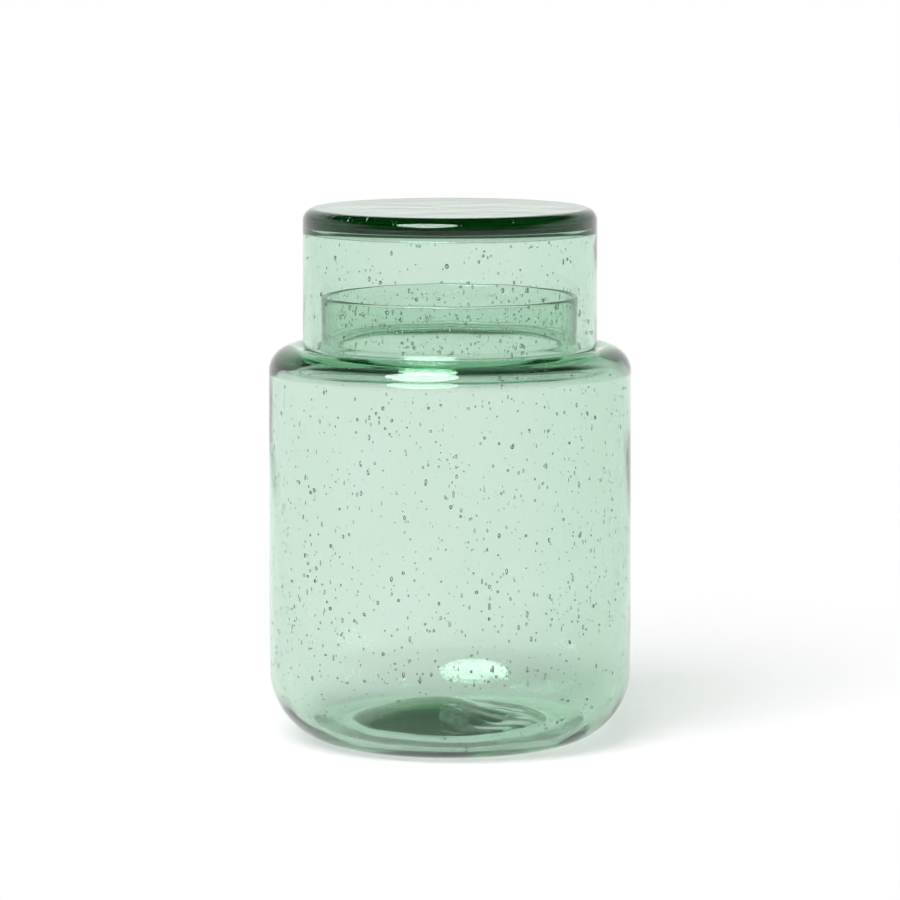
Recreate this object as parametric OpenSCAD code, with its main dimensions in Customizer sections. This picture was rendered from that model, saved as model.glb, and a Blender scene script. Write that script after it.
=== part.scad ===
// Blown glass storage jar: a straight-sided jar with a short open neck, and a flat-topped
// glass lid that drops over the neck and rests on the shoulder.
// Origin at the middle of the foot, on the surface the jar stands on. +Z is up.

/* [Body] */
// Outer diameter of the body
body_d = 100; // [96:1:110]
// Height of the shoulder's crest, its highest ring, above the foot
crest_h = 110; // [90:1:130]
// Thickness of the body's wall and of the heel
wall_t = 2; // [1.6:0.1:2.4]
// Outside radius of the rounded heel
heel_r = 20; // [18:0.5:21]
// Outside radius of the rounded shoulder
shoulder_r = 7; // [6:0.5:8]

/* [Base] */
// Height of the floor's edge above the foot
floor_h = 4.4; // [4:0.1:4.8]
// Diameter of the low mound in the middle of the floor
mound_d = 53; // [40:1:56]
// Height of the mound above the floor's edge
mound_h = 6.5; // [3:0.5:8]
// Diameter of the shallow hollow in the underside
punt_d = 54; // [40:1:54]
// Depth of the hollow in the underside
punt_h = 0.6; // [0.4:0.1:2]

/* [Neck] */
// Outer diameter of the neck
neck_d = 71; // [68:0.5:72]
// Thickness of the neck's wall at its foot
neck_t = 2.3; // [2:0.1:2.6]
// Thickness of the neck's wall at its rim
rim_t = 1.5; // [1.2:0.1:1.9]
// Height of the neck's rim above the lid's seat
neck_h = 14.8; // [12:0.2:20]
// Radius of the fillet where the neck rises out of the shoulder
neck_fillet_r = 2.1; // [1.5:0.1:2.2]
// Depth of the flat seat below the shoulder's crest
seat_drop = 0.8; // [0.5:0.1:1.2]

/* [Lid] */
// Outer diameter of the lid
lid_d = 81; // [80:0.5:82]
// Height of the lid
lid_h = 38.8; // [32:0.2:46]
// Thickness of the lid's wall
lid_wall_t = 2.4; // [2:0.1:2.6]
// Thickness of the lid's flat top
lid_top_t = 4.6; // [4:0.1:5.4]
// Outside radius of the lid's top edge
lid_corner_r = 3.4; // [2.6:0.1:4]
// Radius inside the lid, where the wall meets the top
lid_fillet_r = 2.5; // [1:0.1:4]

/* [Hidden] */
$fn = 144;

glass = [0.60, 0.80, 0.67, 0.5];
overlap = 1;             // how far shapes run into each other, so that they join
seat_gap = 0.8;          // room on the seat around the lid
dome_fn = 720;           // facets of the wide circles that the shallow domes are cut from

body_r = body_d / 2;
inner_r = body_r - wall_t;
inner_heel_r = heel_r - wall_t;
inner_shoulder_r = shoulder_r - wall_t;
seat_h = crest_h - seat_drop;
seat_r = lid_d / 2 + seat_gap;
ceiling_h = seat_h - neck_t;

neck_r = neck_d / 2;
bore_r = neck_r - neck_t;
rim_h = seat_h + neck_h;
rim_r = rim_t / 2;
throat_r = neck_fillet_r + neck_t;
throat_top_h = ceiling_h + throat_r;

lid_r = lid_d / 2;
lid_inner_r = lid_r - lid_wall_t;
lid_rim_r = lid_wall_t / 2;

// Half outline of a round block whose top edge is a quarter circle
module topped_block(r, h, top_r) {
    difference() {
        square([r, h]);
        translate([r - top_r, h - top_r]) outside_corner(top_r);
    }
}

// The same with a quarter circle at the foot as well
module round_block(r, h, foot_r, top_r) {
    difference() {
        topped_block(r, h, top_r);
        translate([r - foot_r, foot_r]) mirror([0, 1]) outside_corner(foot_r);
    }
}

// What lies outside a quarter circle of radius r about the origin, towards +X and +Y
module outside_corner(r) {
    difference() {
        square(r + overlap);
        circle(r);
    }
}

// Fills the inside corner between two edges that meet at the origin, with a radius
module fillet(r) {
    translate([-overlap, -overlap]) difference() {
        square(r + overlap);
        translate([r + overlap, r + overlap]) circle(r);
    }
}

// Dome of the given rise over a disc of radius r, standing on the line y = 0
module dome(r, rise) {
    dome_r = (r * r + rise * rise) / (2 * rise);
    intersection() {
        translate([0, rise - dome_r]) circle(dome_r, $fn = dome_fn);
        square([r, rise]);
    }
}

// The hollow inside the jar, from the floor up to the ceiling under the shoulder
module body_hollow() {
    difference() {
        translate([0, wall_t])
            round_block(inner_r, ceiling_h - wall_t, inner_heel_r, inner_shoulder_r);
        square([inner_r, floor_h]);
        translate([0, floor_h]) dome(mound_d / 2, mound_h);
    }
}

// The hollow inside the neck, which widens a little towards the rim and flares at its foot
module neck_hollow() {
    polygon([
        [0, ceiling_h - overlap], [bore_r, ceiling_h - overlap], [bore_r, throat_top_h],
        [neck_r - rim_t, rim_h - rim_r], [neck_r - rim_t, rim_h + overlap], [0, rim_h + overlap]
    ]);
    translate([bore_r, ceiling_h]) fillet(throat_r);
}

// The neck's wall with its rounded rim, and the fillet at its foot
module neck_wall() {
    translate([bore_r, ceiling_h]) square([neck_t, rim_h - rim_r - ceiling_h]);
    translate([neck_r - rim_r, rim_h - rim_r]) circle(rim_r);
    translate([neck_r, seat_h]) fillet(neck_fillet_r);
}

module jar() {
    color(glass) rotate_extrude() difference() {
        union() {
            difference() {
                round_block(body_r, crest_h, heel_r, shoulder_r);
                translate([0, seat_h]) square([seat_r, seat_drop + overlap]);
            }
            neck_wall();
        }
        body_hollow();
        neck_hollow();
        dome(punt_d / 2, punt_h);
    }
}

module lid() {
    color(glass) translate([0, 0, seat_h]) rotate_extrude() {
        difference() {
            translate([0, lid_rim_r]) topped_block(lid_r, lid_h - lid_rim_r, lid_corner_r);
            square([lid_inner_r, lid_rim_r + overlap]);
            translate([0, lid_rim_r])
                topped_block(lid_inner_r, lid_h - lid_top_t - lid_rim_r, lid_fillet_r);
        }
        translate([lid_r - lid_rim_r, lid_rim_r]) circle(lid_rim_r);
    }
}

jar();
lid();
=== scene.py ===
import math
import random

import bmesh
import bpy
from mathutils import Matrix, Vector, noise


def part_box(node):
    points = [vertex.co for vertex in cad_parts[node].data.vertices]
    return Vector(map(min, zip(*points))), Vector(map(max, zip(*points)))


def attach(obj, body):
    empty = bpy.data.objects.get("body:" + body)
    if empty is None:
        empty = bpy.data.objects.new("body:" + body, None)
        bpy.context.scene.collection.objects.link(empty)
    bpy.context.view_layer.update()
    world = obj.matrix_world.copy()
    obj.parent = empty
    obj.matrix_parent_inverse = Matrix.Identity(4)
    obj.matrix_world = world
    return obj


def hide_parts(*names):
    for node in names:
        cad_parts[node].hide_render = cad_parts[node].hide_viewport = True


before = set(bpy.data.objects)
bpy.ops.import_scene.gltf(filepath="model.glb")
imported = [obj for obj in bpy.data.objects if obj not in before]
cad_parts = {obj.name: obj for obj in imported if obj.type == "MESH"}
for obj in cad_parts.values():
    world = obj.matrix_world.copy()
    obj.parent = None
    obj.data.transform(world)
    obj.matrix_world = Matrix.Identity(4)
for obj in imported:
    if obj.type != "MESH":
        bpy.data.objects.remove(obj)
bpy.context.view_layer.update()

# ---------------------------------------------------------------- sizes, in millimetres

MM = 0.001
jar_low, jar_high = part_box("jar")
lid_low, lid_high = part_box("lid")

BODY_R = jar_high.x / MM
RIM_H = jar_high.z / MM
SEAT_H = lid_low.z / MM
LID_R = lid_high.x / MM
TOP_H = lid_high.z / MM

WALL_T = 2.0
BORE_R = BODY_R - WALL_T

FOOT_R = 30.0
HEEL_R = BODY_R - FOOT_R
PUNT_R = 27.0
PUNT_EDGE_W = 0.3
PUNT_EDGE_H = 0.1
PUNT_H = 0.5               # of the dome, which stands on the punt's edge
FLOOR_H = 4.4
CREASE_R = 38.1
INNER_HEEL_R = 18.0
INNER_HEEL_TURN = 62.0
MOUND_R = 26.5
MOUND_H = 6.5

SHOULDER_R = 7.0
INNER_SHOULDER_R = 5.0
CREST_H = SEAT_H + 0.8
SEAT_R = LID_R - 0.3       # outer edge of the flat seat

NECK_R = 35.5
NECK_T = 2.3
CEILING_H = SEAT_H - NECK_T
RIM_T = 1.5
NECK_FILLET_R = 2.1
THROAT_R = NECK_FILLET_R + NECK_T
NECK_BORE_R = NECK_R - NECK_T

LID_WALL_T = 2.4
LID_BORE_R = LID_R - LID_WALL_T
LID_TOP_T = 4.6
LID_CORNER_R = 3.4
LID_FILLET_R = 2.5
LID_CEILING_H = TOP_H - LID_TOP_T

SEGMENTS = 160
FULL_TURN = 2 * math.pi
ON_AXIS = 0.01


# ---------------------------------------------------------------- outlines

def arc(cx, cz, radius, start, end, steps):
    """Points on an arc about (cx, cz), from one angle to another in degrees."""
    angles = (math.radians(start + (end - start) * i / steps) for i in range(steps + 1))
    return [(cx + radius * math.cos(a), cz + radius * math.sin(a)) for a in angles]


def line(start, end, steps):
    """Points on a straight line, with both its ends."""
    return [(start[0] + (end[0] - start[0]) * i / steps,
             start[1] + (end[1] - start[1]) * i / steps) for i in range(steps + 1)]


def dome(radius, rise, base_z, steps):
    """A shallow dome from the axis out to its edge."""
    sphere_r = (radius ** 2 + rise ** 2) / (2 * rise)
    spread = math.degrees(math.asin(radius / sphere_r))
    return arc(0, base_z + rise - sphere_r, sphere_r, 90, 90 - spread, steps)


def without_doubles(points, least=0.02):
    """The same outline with points that lie on top of each other taken out."""
    kept = [points[0]]
    for p in points[1:]:
        if math.dist(p, kept[-1]) > least:
            kept.append(p)
    return kept


def jar_outside():
    """From the middle of the underside, up the body and neck, to the top of the rim."""
    out = dome(PUNT_R - PUNT_EDGE_W, PUNT_H, PUNT_EDGE_H, 24)
    out += line((PUNT_R, 0.0), (FOOT_R, 0.0), 3)
    out += arc(FOOT_R, HEEL_R, HEEL_R, -90, 0, 40)
    out += line((BODY_R, HEEL_R), (BODY_R, CREST_H - SHOULDER_R), 14)
    out += arc(BODY_R - SHOULDER_R, CREST_H - SHOULDER_R, SHOULDER_R, 0, 100, 30)
    fillet_r, fillet_z = NECK_R + NECK_FILLET_R, SEAT_H + NECK_FILLET_R
    out += line((SEAT_R, SEAT_H), (fillet_r, SEAT_H), 5)
    out += arc(fillet_r, fillet_z, NECK_FILLET_R, 270, 180, 8)
    lip = RIM_T / 2
    out += line((NECK_R, fillet_z), (NECK_R, RIM_H - lip), 8)
    out += arc(NECK_R - lip, RIM_H - lip, lip, 0, 90, 8)
    return without_doubles(out)


def jar_inside():
    """From the top of the rim, down the bore and the wall, to the middle of the floor."""
    lip, edge = RIM_T / 2, THROAT_R
    out = arc(NECK_R - lip, RIM_H - lip, lip, 100, 180, 7)
    out += line((NECK_R - RIM_T, RIM_H - lip), (NECK_BORE_R, CEILING_H + edge), 8)
    out += arc(NECK_BORE_R + edge, CEILING_H + edge, edge, 180, 270, 8)
    turn_r, turn_z = BORE_R - INNER_SHOULDER_R, CEILING_H - INNER_SHOULDER_R
    out += line((NECK_BORE_R + edge, CEILING_H), (turn_r, CEILING_H), 6)
    out += arc(turn_r, turn_z, INNER_SHOULDER_R, 90, 0, 20)
    lean = math.radians(INNER_HEEL_TURN)
    cone_r = BORE_R - INNER_HEEL_R * (1 - math.cos(lean))
    cone_z = FLOOR_H + (cone_r - CREASE_R) / math.tan(lean)
    heel_z = cone_z + INNER_HEEL_R * math.sin(lean)
    out += line((BORE_R, turn_z), (BORE_R, heel_z), 14)
    out += arc(BORE_R - INNER_HEEL_R, heel_z, INNER_HEEL_R, 0, -INNER_HEEL_TURN, 24)
    out += line((cone_r, cone_z), (CREASE_R, FLOOR_H), 6)
    out += line((CREASE_R, FLOOR_H), (MOUND_R, FLOOR_H), 10)
    out += reversed(dome(MOUND_R, MOUND_H, FLOOR_H, 40))
    return without_doubles(out)


def lid_inside():
    """From the middle of the ceiling, down the bore, to the bottom of the rim."""
    out = line((0.0, LID_CEILING_H), (LID_BORE_R - LID_FILLET_R, LID_CEILING_H), 24)
    out += arc(LID_BORE_R - LID_FILLET_R, LID_CEILING_H - LID_FILLET_R, LID_FILLET_R, 90, 0, 14)
    lip = LID_WALL_T / 2
    out += line((LID_BORE_R, LID_CEILING_H - LID_FILLET_R), (LID_BORE_R, SEAT_H + lip), 16)
    out += arc(LID_R - lip, SEAT_H + lip, lip, 180, 270, 8)
    return without_doubles(out)


def lid_outside():
    """From the bottom of the rim, up the wall, to the middle of the top."""
    lip = LID_WALL_T / 2
    out = arc(LID_R - lip, SEAT_H + lip, lip, 280, 360, 7)
    out += line((LID_R, SEAT_H + lip), (LID_R, TOP_H - LID_CORNER_R), 16)
    out += arc(LID_R - LID_CORNER_R, TOP_H - LID_CORNER_R, LID_CORNER_R, 0, 90, 20)
    out += line((LID_R - LID_CORNER_R, TOP_H), (0.0, TOP_H), 40)
    return without_doubles(out)


# ---------------------------------------------------------------- the unevenness of hand work

def smooth(low, high, value):
    """0 below low, 1 above high, smooth between."""
    t = min(1.0, max(0.0, (value - low) / (high - low)))
    return t * t * (3 - 2 * t)


def waves(turn, z, pitch, seed):
    """Smooth noise from -1 to 1 round a surface of revolution, one swell to a pitch in mm."""
    r = BODY_R / pitch
    return noise.noise(Vector((r * math.cos(turn), r * math.sin(turn), z / pitch + seed)))


def jar_unevenness(r, turn, z, inside):
    """How far a point of the true shape lies from the turned one: along r and z.

    The body is a little oval and wavy, the rim dips, and the bore and the inner heel wander.
    """
    if r < ON_AXIS:
        return 0.0, 0.0
    dr = 0.12 * math.cos(2 * turn + 0.7) * smooth(4, 40, z) * smooth(SEAT_H + 2, SEAT_H - 20, z)
    dr += 0.10 * waves(turn, z, 34, 3.0) * smooth(0, 30, z) * smooth(SEAT_H, SEAT_H - 25, z)
    dz = 0.30 * waves(turn, 0, 22, 8.0) * smooth(SEAT_H + 3, RIM_H, z)
    if inside and z < CEILING_H:
        dr += (0.15 + 0.15 * waves(turn, z, 18, 5.0) - 0.3 * math.cos(turn)) * smooth(30, 45, r)
        dz += 0.15 * waves(turn, r, 14, 6.0) * smooth(20, 30, r) * smooth(14, 7, z)
    if z < FLOOR_H + MOUND_H + 1:
        dz += base_unevenness(r, r * math.cos(turn), r * math.sin(turn), inside)
    return dr, dz


MOUND_SLUMP = 2.5
PUNT_LIFT = 1.2
STREAK_W = 4.5


def base_unevenness(r, x, y, inside):
    """Towards +X the mound slumps and the punt rises, and streaks run across both faces."""
    if inside:
        streak = noise.noise(Vector((x / 12, y / STREAK_W, 9.0)))
        return (0.45 * streak - MOUND_SLUMP) * smooth(-4, 14, x) * smooth(MOUND_R, MOUND_R - 8, r)
    streak = noise.noise(Vector((x / 15, y / STREAK_W, 3.0)))
    return (PUNT_LIFT + 0.6 * streak) * smooth(-6, 8, x) * smooth(PUNT_R, PUNT_R - 5, r)


def lid_unevenness(r, turn, z, inside):
    """The lid is a little out of round, and both faces of its top are slightly wavy."""
    if r < ON_AXIS:
        return 0.0, 0.0
    low = smooth(SEAT_H, SEAT_H + 6, z)
    dr = (0.10 * math.cos(2 * turn - 0.5) + 0.08 * waves(turn, z, 26, 12.0)) * low
    dz = 0.0
    if inside and z < LID_CEILING_H - LID_FILLET_R:
        dr += 0.10 * waves(turn, z, 16, 14.0)
    if z > LID_CEILING_H - 0.1 and r < LID_R - LID_CORNER_R:
        dz += 0.04 * waves(turn, 2 * r, 26, 15.0) * smooth(0, 8, r)
    return dr, dz


# ---------------------------------------------------------------- meshes

def turned(first, second, second_is_inside, unevenness):
    """Vertices and faces of two outlines turned about the Z axis, closed at both ends."""
    rings = [(r, z, not second_is_inside) for r, z in first[1:]]
    rings += [(r, z, second_is_inside) for r, z in second[:-1]]
    verts = [(0.0, 0.0, first[0][1])]
    for r, z, inside in rings:
        for i in range(SEGMENTS):
            a = FULL_TURN * i / SEGMENTS
            dr, dz = unevenness(r, a, z, inside)
            verts.append(((r + dr) * math.cos(a), (r + dr) * math.sin(a), z + dz))
    verts.append((0.0, 0.0, second[-1][1]))
    last = len(verts) - 1
    top = 1 + (len(rings) - 1) * SEGMENTS
    faces = []
    for i in range(SEGMENTS):
        j = (i + 1) % SEGMENTS
        faces.append((0, 1 + j, 1 + i))
        for k in range(len(rings) - 1):
            low, high = 1 + k * SEGMENTS, 1 + (k + 1) * SEGMENTS
            faces.append((low + i, low + j, high + j, high + i))
        faces.append((top + i, top + j, last))
    return verts, faces


def ball(level):
    """Vertices and faces of a unit ball, with its faces turned inward, for a void."""
    mesh = bmesh.new()
    bmesh.ops.create_icosphere(mesh, subdivisions=level, radius=1.0)
    verts = [tuple(v.co) for v in mesh.verts]
    faces = [tuple(v.index for v in reversed(f.verts)) for f in mesh.faces]
    mesh.free()
    return verts, faces


# ---------------------------------------------------------------- seeds: bubbles in the glass

SEED_R = 0.25              # the median; sizes are lognormal about it
SEED_SPREAD = 0.42
LEAST_SEED_R = 0.12
TINY_SEED_R = 0.28         # below this a coarser ball is enough
TINY_BALL, ROUND_BALL = ball(1), ball(2)


def add_seed(verts, faces, r, turn, z, size, stretch, stretch_axis):
    """One gas bubble: an egg drawn out along the wall, at (r, turn, z)."""
    out = Vector((math.cos(turn), math.sin(turn), 0))
    side = Vector((-math.sin(turn), math.cos(turn), 0))
    up = Vector((0, 0, 1))
    lengths = {"up": (1, 1, stretch), "side": (1, stretch, 1)}[stretch_axis]
    slim = size / stretch ** 0.4
    ball_verts, ball_faces = TINY_BALL if size < TINY_SEED_R else ROUND_BALL
    start = len(verts)
    centre = out * r + up * z
    for x, y, h in ball_verts:
        p = centre + slim * (lengths[0] * x * out + lengths[1] * y * side + lengths[2] * h * up)
        verts.append(tuple(p))
    faces += [tuple(start + i for i in f) for f in ball_faces]


def seed_size(rng, largest):
    """Most seeds are tiny, a few are large."""
    return min(largest, max(LEAST_SEED_R, rng.lognormvariate(math.log(SEED_R), SEED_SPREAD)))


def scatter(verts, faces, rng, count, place, axis, longest, largest=0.6):
    """Seeds at random places: place(u, across) gives r and z.

    u goes from 0 to 1 along the wall, and across from -0.5 to 0.5 through its thickness.
    """
    for _ in range(count):
        size = seed_size(rng, largest)
        stretch = 1 + (longest - 1) * rng.random() ** 2
        r, z = place(rng.random(), rng.uniform(-0.5, 0.5))
        add_seed(verts, faces, r, rng.uniform(0, FULL_TURN), z, size, stretch, axis)


def between(low, high, u):
    """The value a share u of the way from low to high."""
    return low + (high - low) * u


def add_jar_seeds(verts, faces):
    rng = random.Random(7)
    wall_mid_r = BODY_R - 0.85
    wall_spread = 0.4

    def wall(u, across):
        return wall_mid_r + across * wall_spread, between(22, SEAT_H - 8, u ** 1.25)

    def neck(u, across):
        return NECK_R - NECK_T / 2 + across, between(SEAT_H + 1, RIM_H - 1.5, u)

    def shoulder(u, across):
        a = math.radians(90 * u)
        r = BODY_R - SHOULDER_R + (SHOULDER_R - 1.2 + across * 0.5) * math.cos(a)
        return r, CREST_H - SHOULDER_R + (SHOULDER_R - 1.3 + across * 0.5) * math.sin(a)

    def heel(u, across):
        a = math.radians(between(5, 62, u))
        depth = HEEL_R - 1.4 + across * 0.6
        return FOOT_R + depth * math.cos(a), HEEL_R - depth * math.sin(a)

    def floor(u, across):
        return 35 * math.sqrt(u), FLOOR_H / 2 + across * 2.4

    scatter(verts, faces, rng, 1400, wall, "up", longest=3.0, largest=0.52)
    scatter(verts, faces, rng, 520, neck, "up", longest=2.6)
    scatter(verts, faces, rng, 110, shoulder, "side", longest=2.0, largest=0.35)
    scatter(verts, faces, rng, 220, heel, "side", longest=1.8, largest=0.4)
    scatter(verts, faces, rng, 200, floor, "side", longest=1.6)


def add_lid_seeds(verts, faces):
    rng = random.Random(11)

    def wall(u, across):
        return LID_R - LID_WALL_T / 2 + across, between(SEAT_H + 2, TOP_H - 7, u)

    def top(u, across):
        return 36 * math.sqrt(u), TOP_H - LID_TOP_T / 2 + across * 2.2

    def corner(u, across):
        a = math.radians(90 * u)
        depth = LID_CORNER_R - 1.2 + across
        return LID_R - LID_CORNER_R + depth * math.cos(a), TOP_H - LID_CORNER_R + depth * math.sin(a)

    scatter(verts, faces, rng, 420, wall, "up", longest=2.6)
    scatter(verts, faces, rng, 150, top, "side", longest=1.6)
    scatter(verts, faces, rng, 70, corner, "side", longest=1.8, largest=0.35)


# ---------------------------------------------------------------- the two pieces

def make_piece(name, body, verts, faces, material):
    """An object from vertices in millimetres, which rides on its body and replaces the plain one."""
    mesh = bpy.data.meshes.new(name)
    mesh.from_pydata([tuple(c * MM for c in v) for v in verts], [], faces)
    mesh.polygons.foreach_set("use_smooth", [True] * len(mesh.polygons))
    mesh.materials.append(material)
    piece = bpy.data.objects.new(name, mesh)
    bpy.context.scene.collection.objects.link(piece)
    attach(piece, body)
    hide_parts(body)
    return piece


def make_jar():
    """The jar's glass, with its bubbles."""
    verts, faces = turned(jar_outside(), jar_inside(), True, jar_unevenness)
    add_jar_seeds(verts, faces)
    return make_piece("jar_glass", "jar", verts, faces,
                      glass("jar_glass", JAR_DENSITY))


def make_lid():
    """The lid's glass, with its bubbles."""
    verts, faces = turned(lid_inside(), lid_outside(), False, lid_unevenness)
    add_lid_seeds(verts, faces)
    return make_piece("lid_glass", "lid", verts, faces,
                      glass("lid_glass", LID_DENSITY))


# ---------------------------------------------------------------- materials

TINT = (0.08, 0.60, 0.27)
JAR_DENSITY = 126          # absorption for each metre of glass
LID_DENSITY = 102
CORD_SCALE = 70
CORD_DEPTH = 0.03 * MM


def glass(name, density):
    """Pale green seeded glass: absorption gives the colour, and a bump gives the faint cords."""
    mat = bpy.data.materials.new(name)
    mat.use_nodes = True
    nodes, links = mat.node_tree.nodes, mat.node_tree.links
    shader = nodes["Principled BSDF"]
    shader.inputs["Base Color"].default_value = (0.97, 0.97, 0.97, 1)
    shader.inputs["Roughness"].default_value = 0.0
    shader.inputs["IOR"].default_value = 1.52
    shader.inputs["Specular Tint"].default_value = (0.85, 1, 0.92, 1)
    shader.inputs["Transmission Weight"].default_value = 1.0
    volume = nodes.new("ShaderNodeVolumeAbsorption")
    volume.inputs["Color"].default_value = (*TINT, 1)
    volume.inputs["Density"].default_value = density
    links.new(volume.outputs["Volume"], nodes["Material Output"].inputs["Volume"])
    place = nodes.new("ShaderNodeTexCoord")
    cords = nodes.new("ShaderNodeTexNoise")
    cords.inputs["Scale"].default_value = CORD_SCALE
    cords.inputs["Detail"].default_value = 2
    links.new(place.outputs["Object"], cords.inputs["Vector"])
    bump = nodes.new("ShaderNodeBump")
    bump.inputs["Distance"].default_value = CORD_DEPTH
    links.new(cords.outputs["Fac"], bump.inputs["Height"])
    links.new(bump.outputs["Normal"], shader.inputs["Normal"])
    return mat


# ---------------------------------------------------------------- camera, floor and light

def make_camera():
    """Long lens, a little above the lid, looking along +Y."""
    data = bpy.data.cameras.new("camera")
    data.sensor_width = 36.0
    data.lens = 218.4
    data.clip_start, data.clip_end = 0.1, 50
    camera = bpy.data.objects.new("camera", data)
    bpy.context.scene.collection.objects.link(camera)
    camera.location = (0.0, -1.5, 0.262)
    aim = Vector((0.0, 0.0, 0.0808))
    camera.rotation_euler = (aim - camera.location).to_track_quat("-Z", "Y").to_euler()
    bpy.context.scene.camera = camera


FLOOR_REACH = 3.0
FLOOR_GREY = 0.43
FLOOR_GLOW = 0.445


def make_floor():
    """A white table top, far wider than the view; it glows, so that it stays white in the open."""
    x = y = FLOOR_REACH
    mesh = bpy.data.meshes.new("floor")
    mesh.from_pydata([(-x, -y, 0), (x, -y, 0), (x, y, 0), (-x, y, 0)], [], [(0, 1, 2, 3)])
    floor = bpy.data.objects.new("floor", mesh)
    bpy.context.scene.collection.objects.link(floor)
    mat = bpy.data.materials.new("floor")
    mat.use_nodes = True
    shader = mat.node_tree.nodes["Principled BSDF"]
    shader.inputs["Base Color"].default_value = (FLOOR_GREY, FLOOR_GREY, FLOOR_GREY, 1)
    shader.inputs["Emission Color"].default_value = (1, 1, 1, 1)
    shader.inputs["Emission Strength"].default_value = FLOOR_GLOW
    shader.inputs["Roughness"].default_value = 0.9
    shader.inputs["Specular IOR Level"].default_value = 0.0
    floor.data.materials.append(mat)


def towards(azimuth, elevation=0.0):
    """Unit vector; azimuth 0 is the camera's side, positive to the camera's right."""
    a, e = math.radians(azimuth), math.radians(elevation)
    return Vector((math.sin(a) * math.cos(e), -math.cos(a) * math.cos(e), math.sin(e)))


def add_sun(name, azimuth, elevation, spread, radiance):
    """A round soft light far off."""
    data = bpy.data.lights.new(name, "SUN")
    data.angle = math.radians(spread)
    data.energy = radiance * math.pi * math.sin(math.radians(spread / 2)) ** 2
    light = bpy.data.objects.new(name, data)
    bpy.context.scene.collection.objects.link(light)
    light.rotation_euler = towards(azimuth, elevation).to_track_quat("Z", "Y").to_euler()


WALL_LIGHT = 1.0
BACK_LIGHT = 0.9
FRONT_LIGHT = 0.08
CEILING_LIGHT = 0.03


def make_world():
    """A white wall all round up to the horizon, dim above it on the camera's side and overhead."""
    world = bpy.data.worlds.new("studio")
    world.use_nodes = True
    nodes, links = world.node_tree.nodes, world.node_tree.links
    background = nodes["Background"]
    background.inputs["Color"].default_value = (1, 1, 1, 1)
    direction = nodes.new("ShaderNodeSeparateXYZ")
    links.new(nodes.new("ShaderNodeTexCoord").outputs["Generated"], direction.inputs[0])
    depth, height = direction.outputs["Y"], direction.outputs["Z"]

    def step(value, low, high, before, after):
        """before where value is under low, after where it is over high, smooth between."""
        node = nodes.new("ShaderNodeMapRange")
        node.interpolation_type = "SMOOTHSTEP"
        ends = {"From Min": low, "From Max": high, "To Min": before, "To Max": after, "Value": value}
        for name, end in ends.items():
            if isinstance(end, (int, float)):
                node.inputs[name].default_value = end
            else:
                links.new(end, node.inputs[name])
        return node.outputs["Result"]

    upper = step(depth, -0.45, -0.05, FRONT_LIGHT, BACK_LIGHT)
    wall = step(height, 0.04, 0.12, WALL_LIGHT, upper)
    sky = step(height, 0.40, 0.62, wall, CEILING_LIGHT)
    links.new(sky, background.inputs["Strength"])
    bpy.context.scene.world = world


def set_render():
    """Enough bounces for light to get through both walls of both pieces."""
    scene = bpy.context.scene
    scene.view_settings.view_transform = "Standard"
    cycles = scene.cycles
    cycles.max_bounces = 32
    cycles.transmission_bounces = 32
    cycles.glossy_bounces = 16
    cycles.diffuse_bounces = 3
    cycles.volume_bounces = 0
    cycles.caustics_reflective = True
    cycles.caustics_refractive = True
    cycles.blur_glossy = 0.0
    cycles.sample_clamp_indirect = 8.0
    cycles.use_denoising = True


make_camera()
make_floor()
add_sun("key", azimuth=-22.5, elevation=47, spread=40, radiance=13.2)
make_world()
set_render()

make_jar()
make_lid()
